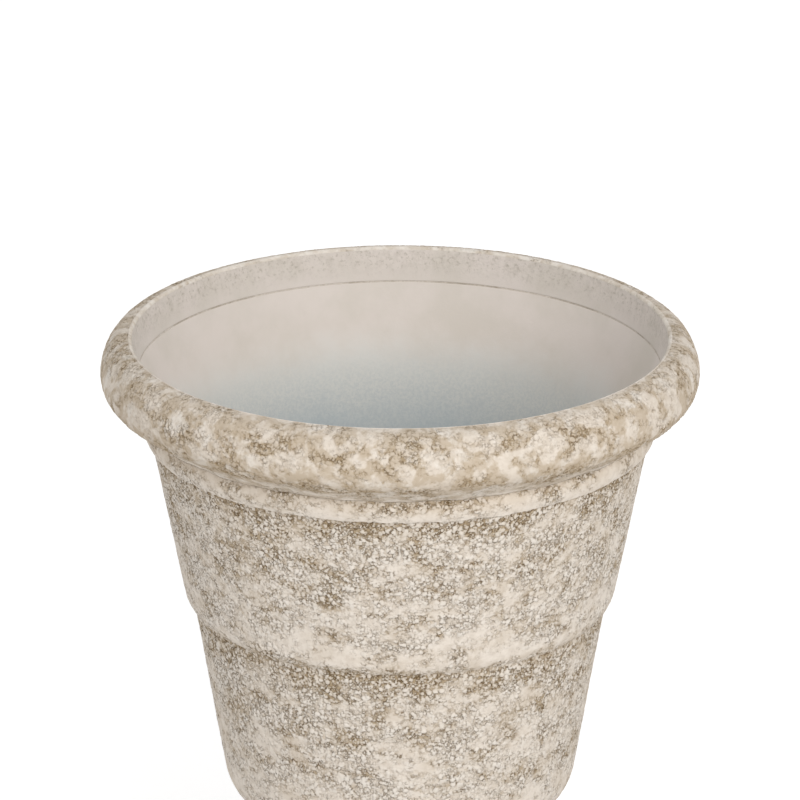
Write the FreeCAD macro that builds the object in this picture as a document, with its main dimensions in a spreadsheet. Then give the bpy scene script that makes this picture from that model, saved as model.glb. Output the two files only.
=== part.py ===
import FreeCAD, Part
import os
import re
import Sketcher

# Urn planter in cast stone-like material, in millimetres. The origin is the centre of the
# foot's underside and +Z is up. Every casting is a section turned about the Z axis.

# ---------------------------------------------------------------- driving sizes
# Lengths are millimetres, tapers are degrees from the vertical. A "drop" is measured down
# from the crest of the rim.
DRIVING = [
    # rim
    ("mouth_radius", 204.8, "inner edge of the crest"),
    ("mouth_edge_round", 3.0, "rounding of that edge"),
    ("crest_flat", 2.7, "level top of the crest"),
    ("lip_taper", 10.0, "taper of the lip inside the mouth"),
    ("seam_drop", 27.0, "seam between rim and bowl"),
    ("roll_width", 22.5, "crest to the widest line of the roll"),
    ("roll_top_round", 19.5, "radius of the roll's shoulder"),
    ("roll_widest_drop", 29.5, "widest line of the roll"),
    ("roll_low_round", 20.0, "radius of the roll's lower edge"),
    ("crease_drop", 62.0, "crease where the roll meets the neck band"),
    # lap joint of rim and bowl
    ("spigot_wall", 8.0, "wall of the bowl's spigot"),
    ("throat_taper", 20.8, "taper of the spigot and of the wall inside it"),
    ("rim_bed", 1.2, "mortar between rim and bowl"),
    # neck band
    ("band_height", 18.0, "height of the moulded band"),
    ("band_bulge", 2.6, "how far its face swells"),
    ("band_lip", 3.0, "how far it stands out over the tier below"),
    ("band_undercut", 1.6, "height of the splay under it"),
    ("band_edge", 1.2, "rounding of its lower edge"),
    # tiers
    ("wall", 12.5, "level thickness of the bowl's wall at the neck"),
    ("core_taper", 11.4, "taper inside the tiers, where the mould's core draws out"),
    ("throat_round", 150.0, "radius inside, from the throat's taper to the core's"),
    ("tier_1_height", 123.0, "upper tier, neck to lower edge"),
    ("tier_1_taper", 10.8, "taper of the upper tier"),
    ("step_setback", 7.6, "lower tier's top behind the upper tier's edge"),
    ("step_round", 20.0, "radius of the upper tier's lower edge"),
    ("tier_2_height", 136.3, "lower tier, step to lower edge"),
    ("tier_2_taper", 9.2, "taper of the lower tier"),
    ("underside_round", 40.0, "radius from the lower tier to the underside"),
    # floor and drain
    ("floor_thickness", 14.0, "bowl's floor"),
    ("floor_round", 26.0, "radius from the wall to the floor"),
    ("drain_radius", 14.0, "drain hole"),
    ("recess_radius", 24.0, "recess for the plug's flange"),
    ("recess_depth", 5.0, "depth of that recess"),
    # plug
    ("plug_clearance", 0.1, "between the plug's stem and the drain hole"),
    ("flange_clearance", 0.6, "between the plug's flange and its recess"),
    ("plug_reach", 13.0, "plug below its flange"),
    ("plug_lead", 2.0, "taper at the plug's lower end"),
    ("grip_radius", 4.5, "stud that is pinched to pull the plug"),
    ("grip_groove", 7.5, "width of the finger groove round it"),
    ("grip_depth", 6.0, "depth of that groove"),
    ("plug_edge", 0.8, "rounding of the flange's upper edge"),
    # joint of bowl and foot
    ("bed_thickness", 3.0, "mortar under the bowl"),
    ("bed_gap", 2.0, "mortar round the locating ring"),
    ("bed_inset", 2.0, "mortar's outer edge behind the collar's flat"),
    ("locator_wall", 12.0, "wall of the locating ring"),
    ("locator_length", 14.0, "length of the locating ring"),
    # foot
    ("pedestal_height", 110.3, "foot, ground to mortar"),
    ("collar_setback", 12.0, "collar behind the flat of the underside"),
    ("collar_height", 14.0, "half-round collar"),
    ("collar_bulge", 6.0, "how far the collar stands out"),
    ("stem_setback", 24.0, "waist of the stem behind the collar"),
    ("stem_hollow", 42.0, "radius of the hollow curve from the band to the collar"),
    ("foot_wall", 14.0, "wall of the foot's stem"),
    ("foot_spread", 18.83, "plinth's edge beyond the flat of the underside"),
    ("plinth_height", 22.0, "plinth"),
    ("plinth_wall", 15.0, "wall of the plinth, which stands on the ground"),
    ("plinth_edge", 3.0, "chamfer of the plinth's top edge"),
    ("band_step", 12.0, "flat band on the plinth, behind the plinth's edge"),
    ("foot_band_height", 12.0, "flat band on the plinth"),
    ("foot_band_lip", 4.0, "level top of that band, round the hollow curve"),
]

# ---------------------------------------------------------------- sizes that follow from them
DERIVED = [
    # heights, from the ground up
    ("base_z", "pedestal_height + bed_thickness"),
    ("underside_edge_z", "base_z + underside_round * (1 - sin(tier_2_taper))"),
    ("step_z", "underside_edge_z + tier_2_height"),
    ("step_turn", "acos(cos(tier_1_taper) - step_setback / step_round)"),
    ("tier_1_edge_z", "step_z + step_round * (sin(step_turn) - sin(tier_1_taper))"),
    ("neck_z", "tier_1_edge_z + tier_1_height"),
    ("band_low_z", "neck_z + band_undercut"),
    ("crease_z", "band_low_z + band_height"),
    ("crest_z", "crease_z + crease_drop"),
    ("shoulder_z", "crest_z - seam_drop"),
    ("spigot_top_z", "shoulder_z - rim_bed"),
    ("floor_z", "base_z + floor_thickness"),
    ("recess_z", "floor_z - recess_depth"),
    # radii of the lap joint: the spigot's two faces have one taper
    ("crest_radius", "mouth_radius + crest_flat"),
    ("rim_radius", "crest_radius + roll_width"),
    ("seam_radius", "mouth_radius - seam_drop * tan(lip_taper)"),
    ("spigot_bore", "seam_radius - rim_bed * tan(throat_taper)"),
    ("spigot_top_radius", "spigot_bore + spigot_wall"),
    ("socket_top_radius", "seam_radius + spigot_wall + rim_bed"),
    ("neck_radius", "spigot_top_radius - (spigot_top_z - crease_z) * tan(throat_taper)"),
    ("socket_low_radius", "neck_radius + rim_bed"),
    # radii of the bowl, from the throat down
    ("throat_radius", "seam_radius - (shoulder_z - neck_z) * tan(throat_taper)"),
    ("tier_1_top_radius", "throat_radius + wall"),
    ("band_low_radius", "tier_1_top_radius + band_lip"),
    ("tier_1_edge_radius", "tier_1_top_radius - tier_1_height * tan(tier_1_taper)"),
    ("step_radius", "tier_1_edge_radius - step_setback"),
    ("tier_2_edge_radius", "step_radius - tier_2_height * tan(tier_2_taper)"),
    ("base_flat_radius", "tier_2_edge_radius - underside_round * cos(tier_2_taper)"),
    # inner curve from wall to floor
    ("floor_curve_z", "floor_z + floor_round"),
    ("floor_flat_radius",
     "throat_radius - (neck_z - floor_curve_z) * tan(core_taper)"
     " - floor_round / cos(core_taper)"),
    ("core_low_radius", "floor_flat_radius + floor_round * cos(core_taper)"),
    ("core_low_z", "floor_curve_z - floor_round * sin(core_taper)"),
    # roll: a shoulder arc and a side arc that meet smoothly
    ("side_rise", "roll_widest_drop - roll_top_round"),
    ("roll_side_round",
     "(roll_width * roll_width + side_rise * side_rise - roll_top_round * roll_top_round)"
     " / (2 * (roll_width - roll_top_round))"),
    ("side_slope", "atan(side_rise / (roll_side_round - roll_width))"),
    ("roll_join_radius", "rim_radius - roll_side_round * (1 - cos(side_slope))"),
    ("roll_join_z", "crest_z - roll_widest_drop + roll_side_round * sin(side_slope)"),
    # roll: the lower arc runs smoothly into the straight underside
    ("low_centre_radius", "rim_radius - roll_low_round"),
    ("low_centre_z", "crest_z - roll_widest_drop"),
    ("low_offset", "low_centre_radius - socket_low_radius"),
    ("low_height", "low_centre_z - crease_z"),
    ("under_turn",
     "acos(roll_low_round / sqrt(low_offset * low_offset + low_height * low_height))"
     " - atan(low_offset / low_height)"),
    ("under_radius", "low_centre_radius + roll_low_round * sin(under_turn)"),
    ("under_z", "low_centre_z - roll_low_round * cos(under_turn)"),
    # foot, from the collar down
    ("foot_radius", "base_flat_radius + foot_spread"),
    ("collar_radius", "base_flat_radius - collar_setback"),
    ("collar_flat_radius", "collar_radius - collar_bulge"),
    ("collar_low_z", "pedestal_height - collar_height"),
    ("stem_radius", "collar_radius - stem_setback"),
    ("band_radius", "foot_radius - band_step"),
    ("foot_band_z", "plinth_height + foot_band_height"),
    ("stem_foot_radius", "band_radius - foot_band_lip"),
    ("hollow_centre", "stem_radius + stem_hollow"),
    ("hollow_reach", "hollow_centre - stem_foot_radius"),
    ("waist_z",
     "foot_band_z + sqrt(stem_hollow * stem_hollow - hollow_reach * hollow_reach)"),
    ("neck_rise", "collar_low_z - waist_z"),
    ("stem_top_radius",
     "hollow_centre - sqrt(stem_hollow * stem_hollow - neck_rise * neck_rise)"),
    # inside of the foot: a bore, a splay behind the hollow curve and a straight flare
    ("bore_radius", "stem_radius - foot_wall"),
    ("splay_radius", "hollow_centre - (stem_hollow + foot_wall) * cos(45)"),
    ("splay_z", "waist_z - (stem_hollow + foot_wall) * sin(45)"),
    ("hollow_radius", "foot_radius - plinth_wall"),
    ("hollow_low_z", "plinth_height - foot_wall"),
    # locating ring and mortar bed
    ("locator_radius", "bore_radius - bed_gap"),
    ("locator_bore", "locator_radius - locator_wall"),
    ("locator_low_z", "base_z - locator_length"),
    ("bed_radius", "collar_flat_radius - bed_inset"),
    # plug
    ("flange_radius", "recess_radius - flange_clearance"),
    ("plug_radius", "drain_radius - plug_clearance"),
    ("plug_tip_radius", "plug_radius - plug_lead"),
    ("plug_low_z", "recess_z - plug_reach"),
    ("plug_lead_z", "plug_low_z + plug_lead"),
    ("groove_radius", "grip_radius + grip_groove"),
]

WORD = re.compile(r"\b([a-z][a-z_0-9]*)\b(?!\()")


def sheet_names(text):
    """Point every size name in an expression at the sheet."""
    return WORD.sub(r"Sizes.\1", text)


def make_sheet(doc):
    sheet = doc.addObject("Spreadsheet::Sheet", "Sizes")
    row = 1
    for name, value, note in DRIVING:
        sheet.set(f"A{row}", name)
        sheet.set(f"B{row}", str(value))
        sheet.set(f"C{row}", note)
        sheet.setAlias(f"B{row}", name)
        row += 1
    for name, formula in DERIVED:
        sheet.set(f"A{row}", name)
        sheet.set(f"B{row}", "=" + formula)
        sheet.setAlias(f"B{row}", name)
        row += 1
    doc.recompute()
    return sheet


def size(sheet, text):
    """The number that an expression of size names stands for."""
    value = sheet.evalExpression(sheet_names(text))
    return float(getattr(value, "Value", value))


def origin_plane(body, role):
    return next(f for f in body.Origin.OriginFeatures if f.Role == role)


def make_sketch(body, name, role):
    sketch = body.newObject("Sketcher::SketchObject", name)
    sketch.AttachmentSupport = (origin_plane(body, role), "")
    sketch.MapMode = "FlatFace"
    return sketch


class Section:
    """A closed outline in the XZ plane, drawn corner by corner. Each corner's radius and
    height are bound to the sheet, and so is the radius of each arc."""

    def __init__(self, body, sheet, name, radius, height):
        self.sheet = sheet
        self.sketch = make_sketch(body, name, "XZ_Plane")
        self.start = (radius, height)
        self.here = self.start
        self.ends = []  # (geometry, its first point, its last point)

    def point(self, corner):
        return FreeCAD.Vector(size(self.sheet, corner[0]), size(self.sheet, corner[1]), 0)

    def bind(self, constraint, text):
        index = self.sketch.addConstraint(constraint)
        self.sketch.setExpression(f"Constraints[{index}]", sheet_names(text))

    def place(self, edge, end, corner):
        """Give one end of an edge its radius and height."""
        point = self.point(corner)
        self.bind(Sketcher.Constraint("DistanceX", -1, 1, edge, end, point.x), corner[0])
        self.bind(Sketcher.Constraint("DistanceY", -1, 1, edge, end, point.y), corner[1])

    def join(self, edge, first, last):
        """Put a new edge after the last one and give its far end a place."""
        if self.ends:
            before, _, before_last = self.ends[-1]
            self.sketch.addConstraint(
                Sketcher.Constraint("Coincident", before, before_last, edge, first))
        else:
            self.place(edge, first, self.start)
        self.ends.append((edge, first, last))

    def line(self, radius, height):
        corner = (radius, height)
        edge = self.sketch.addGeometry(
            Part.LineSegment(self.point(self.here), self.point(corner)), False)
        self.join(edge, 1, 2)
        if corner == self.start:
            opening, opening_first, _ = self.ends[0]
            self.sketch.addConstraint(
                Sketcher.Constraint("Coincident", edge, 2, opening, opening_first))
        else:
            self.place(edge, 2, corner)
        self.here = corner

    def arc(self, radius, height, bend, turn):
        """An arc of radius bend. It turns "left" or "right" on its way to the corner."""
        corner = (radius, height)
        begin = self.point(self.here)
        end = self.point(corner)
        bend_now = size(self.sheet, bend)
        chord = end - begin
        side = FreeCAD.Vector(-chord.y, chord.x, 0).normalize()
        if turn == "right":
            side = side * -1
        reach = (bend_now ** 2 - chord.Length ** 2 / 4) ** 0.5
        centre = (begin + end) * 0.5 + side * reach
        middle = centre - side * bend_now
        edge = self.sketch.addGeometry(Part.Arc(begin, middle, end), False)
        first, last = (1, 2) if turn == "left" else (2, 1)
        self.join(edge, first, last)
        self.place(edge, last, corner)
        self.bind(Sketcher.Constraint("Radius", edge, bend_now), bend)
        self.here = corner

    def swell(self, radius, height, rise, turn):
        """An arc that stands out from its chord by rise."""
        width = f"(({radius}) - ({self.here[0]}))"
        climb = f"(({height}) - ({self.here[1]}))"
        chord_squared = f"({width} * {width} + {climb} * {climb})"
        self.arc(radius, height, f"{chord_squared} / (8 * {rise}) + {rise} / 2", turn)


def turn_section(body, section):
    """Turn a section once round the Z axis."""
    solid = body.newObject("PartDesign::Revolution", "Turned" + body.Label)
    solid.Profile = section.sketch
    solid.ReferenceAxis = (section.sketch, ["V_Axis"])
    solid.Angle = 360
    body.Tip = solid
    return solid


def new_body(doc, label):
    body = doc.addObject("PartDesign::Body", label)
    body.Label = label
    return body


def rings_at(shape, radius, height):
    """Names of the circular edges with this radius at this height."""
    names = []
    for number, edge in enumerate(shape.Edges, start=1):
        curve = edge.Curve
        if isinstance(curve, Part.Circle):
            if abs(curve.Radius - radius) < 0.01 and abs(curve.Center.z - height) < 0.01:
                names.append(f"Edge{number}")
    return names


def dress_ring(doc, sheet, turned, kind, radius, height, amount):
    """Give one ring edge of a turned solid a Fillet or a Chamfer."""
    doc.recompute()
    names = rings_at(turned.Shape, size(sheet, radius), size(sheet, height))
    if not names:
        raise RuntimeError(f"{turned.Label}: no edge at {radius}, {height}")
    body = turned.getParentGeoFeatureGroup()
    dressed = body.newObject("PartDesign::" + kind, amount)
    dressed.Base = (turned, names)
    dressed.setExpression("Radius" if kind == "Fillet" else "Size", sheet_names(amount))
    body.Tip = dressed
    return dressed


def cut_down(doc, sheet, body, name, rings, level, depth):
    """Pocket straight down from a level: one circle for each ring radius."""
    doc.recompute()
    volume = body.Shape.Volume
    sketch = make_sketch(body, name + "Outline", "XY_Plane")
    sketch.setExpression(".AttachmentOffset.Base.z", sheet_names(level))
    for radius in rings:
        circle = Part.Circle(FreeCAD.Vector(0, 0, 0), FreeCAD.Vector(0, 0, 1), size(sheet, radius))
        edge = sketch.addGeometry(circle, False)
        sketch.addConstraint(Sketcher.Constraint("Coincident", edge, 3, -1, 1))
        index = sketch.addConstraint(Sketcher.Constraint("Radius", edge, size(sheet, radius)))
        sketch.setExpression(f"Constraints[{index}]", sheet_names(radius))
    pocket = body.newObject("PartDesign::Pocket", name)
    pocket.Profile = sketch
    pocket.setExpression("Length", sheet_names(depth))
    body.Tip = pocket
    doc.recompute()
    if body.Shape.Volume >= volume - 1:
        raise RuntimeError(f"{name} cuts nothing")
    return pocket


# ---------------------------------------------------------------- the pieces
def rim_ring(doc, sheet):
    """Rolled rim: a lip inside, a full roll outside, and a tapered socket for the spigot."""
    body = new_body(doc, "rim_ring")
    section = Section(body, sheet, "RimSection", "seam_radius", "shoulder_z")
    section.line("socket_top_radius", "shoulder_z")
    section.line("socket_low_radius", "crease_z")
    section.line("under_radius", "under_z")
    section.arc("rim_radius", "crest_z - roll_widest_drop", "roll_low_round", "left")
    section.arc("roll_join_radius", "roll_join_z", "roll_side_round", "left")
    section.arc("crest_radius", "crest_z", "roll_top_round", "left")
    section.line("mouth_radius", "crest_z")
    section.line("seam_radius", "shoulder_z")
    turned = turn_section(body, section)
    dress_ring(doc, sheet, turned, "Fillet", "mouth_radius", "crest_z", "mouth_edge_round")
    return body


def rim_bond(doc, sheet):
    """Mortar between rim and bowl: a flat bed on the spigot's end and a tapered skirt."""
    body = new_body(doc, "rim_bond")
    section = Section(body, sheet, "RimBondSection", "seam_radius", "shoulder_z")
    section.line("spigot_bore", "spigot_top_z")
    section.line("spigot_top_radius", "spigot_top_z")
    section.line("neck_radius", "crease_z")
    section.line("socket_low_radius", "crease_z")
    section.line("socket_top_radius", "shoulder_z")
    section.line("seam_radius", "shoulder_z")
    turn_section(body, section)
    return body


def bowl_shell(doc, sheet):
    """Hollow bowl: spigot, neck band, two tiers with a rounded step between them, underside,
    floor and locating ring. Below the throat, where it is eased, the inside is one straight
    taper."""
    body = new_body(doc, "bowl_shell")
    section = Section(body, sheet, "BowlSection", "spigot_bore", "spigot_top_z")
    # inside, down to the floor
    section.line("throat_radius", "neck_z")
    section.line("core_low_radius", "core_low_z")
    section.arc("floor_flat_radius", "floor_z", "floor_round", "right")
    section.line("0", "floor_z")
    # underneath, with the locating ring
    section.line("0", "base_z")
    section.line("locator_bore", "base_z")
    section.line("locator_bore", "locator_low_z")
    section.line("locator_radius", "locator_low_z")
    section.line("locator_radius", "base_z")
    section.line("base_flat_radius", "base_z")
    section.arc("tier_2_edge_radius", "underside_edge_z", "underside_round", "left")
    # outside, up to the spigot
    section.line("step_radius", "step_z")
    section.arc("tier_1_edge_radius", "tier_1_edge_z", "step_round", "left")
    section.line("tier_1_top_radius", "neck_z")
    section.line("band_low_radius", "band_low_z")
    section.swell("neck_radius", "crease_z", "band_bulge", "left")
    section.line("spigot_top_radius", "spigot_top_z")
    section.line("spigot_bore", "spigot_top_z")
    turned = turn_section(body, section)
    eased = dress_ring(doc, sheet, turned, "Fillet", "throat_radius", "neck_z", "throat_round")
    dress_ring(doc, sheet, eased, "Fillet", "band_low_radius", "band_low_z", "band_edge")
    cut_down(doc, sheet, body, "PlugRecess", ["recess_radius"], "floor_z", "recess_depth")
    cut_down(doc, sheet, body, "DrainHole", ["drain_radius"], "floor_z", "floor_thickness")
    return body


def foot_bond(doc, sheet):
    """Mortar between bowl and foot: a flat bed and a sleeve round the locating ring."""
    body = new_body(doc, "foot_bond")
    section = Section(body, sheet, "FootBondSection", "locator_radius", "base_z")
    section.line("locator_radius", "locator_low_z")
    section.line("bore_radius", "locator_low_z")
    section.line("bore_radius", "pedestal_height")
    section.line("bed_radius", "pedestal_height")
    section.line("bed_radius", "base_z")
    section.line("locator_radius", "base_z")
    turn_section(body, section)
    return body


def pedestal_foot(doc, sheet):
    """Hollow foot, open underneath: plinth, flat band, a stem that is one hollow curve, and a
    half-round collar."""
    body = new_body(doc, "pedestal_foot")
    section = Section(body, sheet, "FootSection", "hollow_radius", "0")
    section.line("foot_radius", "0")
    section.line("foot_radius", "plinth_height")
    section.line("band_radius", "plinth_height")
    section.line("band_radius", "foot_band_z")
    section.line("stem_foot_radius", "foot_band_z")
    section.arc("stem_top_radius", "collar_low_z", "stem_hollow", "right")
    section.line("collar_flat_radius", "collar_low_z")
    section.swell("collar_flat_radius", "pedestal_height", "collar_bulge", "left")
    section.line("bore_radius", "pedestal_height")
    section.line("bore_radius", "waist_z")
    section.line("splay_radius", "splay_z")
    section.line("hollow_radius", "hollow_low_z")
    section.line("hollow_radius", "0")
    turned = turn_section(body, section)
    dress_ring(doc, sheet, turned, "Chamfer", "foot_radius", "plinth_height", "plinth_edge")
    return body


def drain_plug(doc, sheet):
    """Rubber plug: a flange level with the floor, a stem with a lead-in, and a stud in a
    finger groove to pull it by."""
    body = new_body(doc, "drain_plug")
    section = Section(body, sheet, "PlugSection", "0", "floor_z")
    section.line("0", "plug_low_z")
    section.line("plug_tip_radius", "plug_low_z")
    section.line("plug_radius", "plug_lead_z")
    section.line("plug_radius", "recess_z")
    section.line("flange_radius", "recess_z")
    section.line("flange_radius", "floor_z")
    section.line("0", "floor_z")
    turned = turn_section(body, section)
    dress_ring(doc, sheet, turned, "Fillet", "flange_radius", "floor_z", "plug_edge")
    cut_down(doc, sheet, body, "GripGroove", ["groove_radius", "grip_radius"],
             "floor_z", "grip_depth")
    return body


def check(doc, bodies):
    """Stop if anything in the document failed or a piece isn't one sound solid."""
    for item in doc.Objects:
        if {"Invalid", "Error"} & set(item.State):
            raise RuntimeError(f"{item.Label} failed: {item.State}")
        if item.TypeId == "Sketcher::SketchObject" and item.solve() != 0:
            raise RuntimeError(f"{item.Label} doesn't solve")
    for body in bodies:
        shape = body.Shape
        if shape.isNull() or not shape.isValid() or len(shape.Solids) != 1:
            raise RuntimeError(f"{body.Label} isn't one valid solid")


def main():
    doc = FreeCAD.newDocument("UrnPlanter")
    sheet = make_sheet(doc)
    pieces = [rim_ring, rim_bond, bowl_shell, foot_bond, pedestal_foot, drain_plug]
    bodies = [piece(doc, sheet) for piece in pieces]
    doc.recompute()
    check(doc, bodies)
    os.makedirs("parts", exist_ok=True)
    for body in bodies:
        body.Shape.exportStep(f"parts/{body.Label}.step")
        box = body.Shape.optimalBoundingBox()
        print(f"{body.Label}: {body.Shape.Volume / 1000:.1f} cm3,"
              f" radius {box.XMax:.1f}, height {box.ZMin:.1f} to {box.ZMax:.1f}")


main()
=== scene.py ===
import math

import bmesh
import bpy
import numpy as np
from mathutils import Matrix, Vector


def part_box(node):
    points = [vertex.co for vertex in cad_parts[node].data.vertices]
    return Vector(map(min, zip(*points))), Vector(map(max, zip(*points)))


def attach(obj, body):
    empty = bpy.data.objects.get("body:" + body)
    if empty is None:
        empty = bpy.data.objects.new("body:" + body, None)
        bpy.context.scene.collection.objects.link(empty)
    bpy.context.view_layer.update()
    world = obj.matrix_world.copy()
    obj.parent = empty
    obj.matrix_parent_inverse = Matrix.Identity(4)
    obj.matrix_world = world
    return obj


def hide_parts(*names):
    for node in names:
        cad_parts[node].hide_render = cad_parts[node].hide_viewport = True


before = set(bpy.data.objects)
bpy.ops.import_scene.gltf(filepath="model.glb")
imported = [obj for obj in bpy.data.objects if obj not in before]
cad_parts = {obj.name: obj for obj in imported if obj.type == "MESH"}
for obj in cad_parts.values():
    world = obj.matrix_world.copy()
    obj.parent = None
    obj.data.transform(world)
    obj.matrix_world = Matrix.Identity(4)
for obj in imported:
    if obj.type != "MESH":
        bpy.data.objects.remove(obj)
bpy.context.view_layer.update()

# Urn planter in a weathered stone-like casting. Sizes are millimetres until a mesh is made.
# Every piece is a section turned about the Z axis, with a relief pressed into its surface.

MM = 0.001
FINE, MEDIUM, COARSE, ROUGH = 1.15, 2.2, 4.5, 12.0   # spacing of the points along a section
NEAR = 0.4                                           # and of the points next to a corner
PLAIN_SHARE = 0.35   # the map space that a stretch with few columns gets for its length

# ---------------------------------------------------------------- sizes from the frame


def reach(node):
    """The radius, lowest height and highest height of a CAD node, in millimetres."""
    low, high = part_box(node)
    return high.x / MM, low.z / MM, high.z / MM


RIM_RADIUS, CREASE_Z, CREST_Z = reach("rim_ring")
SOCKET_RADIUS, _, SHOULDER_Z = reach("rim_bond")
SPIGOT_RADIUS, LOCATOR_Z, SPIGOT_Z = reach("bowl_shell")
BED_RADIUS, _, BASE_Z = reach("foot_bond")
FOOT_RADIUS, _, FOOT_TOP_Z = reach("pedestal_foot")
FLANGE_RADIUS, PLUG_LOW_Z, FLOOR_Z = reach("drain_plug")

# ---------------------------------------------------------------- sizes of the section
MOUTH_ROUND = 3.0
CREST_FLAT = 2.7
ROLL_WIDTH = 22.5
ROLL_TOP_ROUND = 19.5
ROLL_WIDEST_DROP = 29.5
ROLL_LOW_ROUND = 20.0
LIP_TAPER = math.radians(10.0)
THROAT_TAPER = math.radians(20.8)
BED = SHOULDER_Z - SPIGOT_Z
SPIGOT_WALL = 8.0
BAND_HEIGHT = 18.0
BAND_BULGE = 2.6
BAND_LIP = 3.0
BAND_UNDERCUT = 1.6
WALL = 12.5
TIER_1_HEIGHT, TIER_1_TAPER = 123.0, math.radians(10.8)
TIER_2_HEIGHT, TIER_2_TAPER = 136.3, math.radians(9.2)
CORE_TAPER = math.radians(11.4)
STEP_SETBACK = 7.6
STEP_ROUND = 20.0
UNDERSIDE_ROUND = 40.0
FLOOR_ROUND = 26.0
THROAT_ROUND = 150.0
DRAIN_RADIUS = 14.0
RECESS_RADIUS, RECESS_DEPTH = 24.0, 5.0
BED_INSET = 2.0
LOCATOR_WALL = 12.0
COLLAR_SETBACK, COLLAR_BULGE, COLLAR_HEIGHT = 12.0, 6.0, 14.0
STEM_SETBACK, STEM_HOLLOW = 24.0, 42.0
PLINTH_HEIGHT, PLINTH_EDGE, PLINTH_WALL = 22.0, 3.0, 15.0
BAND_STEP, FOOT_BAND_HEIGHT, FOOT_BAND_LIP = 12.0, 12.0, 4.0
FOOT_WALL = 14.0
GRIP_RADIUS, GRIP_GROOVE, GRIP_DEPTH = 4.5, 7.5, 6.0
PLUG_LEAD, PLUG_ROUND, PLUG_CLEARANCE = 2.0, 0.8, 0.1
RAKE = 0.15                        # how far the mortar stands back at the rim's joint
# The browned top of a tier is dirt together with painted shade under the overhang.
TIER_SHADE, TIER_HEM = 24.0, 26.0  # browned top and smoother foot of a tier

# radii and heights that follow
CREST_RADIUS = RIM_RADIUS - ROLL_WIDTH
MOUTH_RADIUS = CREST_RADIUS - CREST_FLAT
SEAM_RADIUS = MOUTH_RADIUS - (CREST_Z - SHOULDER_Z) * math.tan(LIP_TAPER)
BAND_LOW_Z = CREASE_Z - BAND_HEIGHT
NECK_Z = BAND_LOW_Z - BAND_UNDERCUT
SPIGOT_BORE = SPIGOT_RADIUS - SPIGOT_WALL
NECK_RADIUS = SPIGOT_RADIUS - (SPIGOT_Z - CREASE_Z) * math.tan(THROAT_TAPER)
THROAT_RADIUS = SEAM_RADIUS - (SHOULDER_Z - NECK_Z) * math.tan(THROAT_TAPER)
TIER_1_RADIUS = THROAT_RADIUS + WALL
TIER_1_EDGE_Z = NECK_Z - TIER_1_HEIGHT
TIER_1_EDGE_RADIUS = TIER_1_RADIUS - TIER_1_HEIGHT * math.tan(TIER_1_TAPER)
UNDERSIDE_Z = BASE_Z + UNDERSIDE_ROUND * (1 - math.sin(TIER_2_TAPER))
STEP_Z = UNDERSIDE_Z + TIER_2_HEIGHT
STEP_RADIUS = TIER_1_EDGE_RADIUS - STEP_SETBACK
TIER_2_EDGE_RADIUS = STEP_RADIUS - TIER_2_HEIGHT * math.tan(TIER_2_TAPER)
BASE_FLAT_RADIUS = TIER_2_EDGE_RADIUS - UNDERSIDE_ROUND * math.cos(TIER_2_TAPER)
FLOOR_CURVE_Z = FLOOR_Z + FLOOR_ROUND
FLOOR_FLAT_RADIUS = (THROAT_RADIUS - (NECK_Z - FLOOR_CURVE_Z) * math.tan(CORE_TAPER)
                     - FLOOR_ROUND / math.cos(CORE_TAPER))
CORE_LOW_RADIUS = FLOOR_FLAT_RADIUS + FLOOR_ROUND * math.cos(CORE_TAPER)
CORE_LOW_Z = FLOOR_CURVE_Z - FLOOR_ROUND * math.sin(CORE_TAPER)
COLLAR_RADIUS = BASE_FLAT_RADIUS - COLLAR_SETBACK
STEM_RADIUS = COLLAR_RADIUS - STEM_SETBACK
STEM_BORE = STEM_RADIUS - FOOT_WALL
LOCATOR_RADIUS = STEM_BORE - BED_INSET
FOOT_BAND_Z = PLINTH_HEIGHT + FOOT_BAND_HEIGHT
FOOT_BAND_RADIUS = FOOT_RADIUS - BAND_STEP

# ---------------------------------------------------------------- sections


class Section:
    """A closed section in the RZ half-plane, drawn clockwise: the outside lies to the left.
    Each stretch has its own spacing, columns round the axis, material and finish."""

    def __init__(self, radius, height):
        self.at = np.array([radius, height], float)
        self.rows = []

    def line(self, radius, height, step, columns, material, **finish):
        end = np.array([radius, height], float)
        on_axis = self.at[0] == radius == 0
        share = np.zeros(1) if on_axis else self._shares(np.linalg.norm(end - self.at), step)
        points = self.at + (end - self.at) * share[:, None]
        return self._add(points, end, share, columns, material, finish)

    def arc(self, radius, height, bend, step, columns, material, hollow=False, **finish):
        end = np.array([radius, height], float)
        half = (end - self.at) / 2
        length = np.linalg.norm(half)
        inward = np.array([half[1], -half[0]]) / length * (-1 if hollow else 1)
        centre = self.at + half + inward * math.sqrt(max(bend * bend - length * length, 0))
        first, last = (math.atan2(*(p - centre)[::-1]) for p in (self.at, end))
        turn = (last - first + math.pi) % (2 * math.pi) - math.pi
        share = self._shares(abs(turn) * bend, step)
        angle = first + turn * share
        points = centre + bend * np.stack([np.cos(angle), np.sin(angle)], 1)
        return self._add(points, end, share, columns, material, finish)

    def _shares(self, length, step):
        """Even shares of a stretch, with one more near each end where they are far apart."""
        count = max(1, math.ceil(length / step))
        shares = np.arange(count) / count
        if length / count > 2 * NEAR:
            shares = np.sort(np.append(shares, [NEAR / length, 1 - NEAR / length]))
        return shares

    def _add(self, points, end, share, columns, material, finish):
        for point, part in zip(points, share):
            values = {name: a + (b - a) * part for name, (a, b) in finish.items()}
            self.rows.append((point, columns, material, values))
        self.at = end
        return self


# What a stretch of a section may say about its finish, each from its start to its end:
# crust, how much of it is bare lumps; stain, the brown dirt on it together with
# painted shade under overhangs and in creases; pale, its rubbed wash; edge, how worn it is;
# free, the share of the relief it takes; sway, how much it wanders.
FINISHES = ("crust", "stain", "pale", "edge", "free", "sway")


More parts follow.
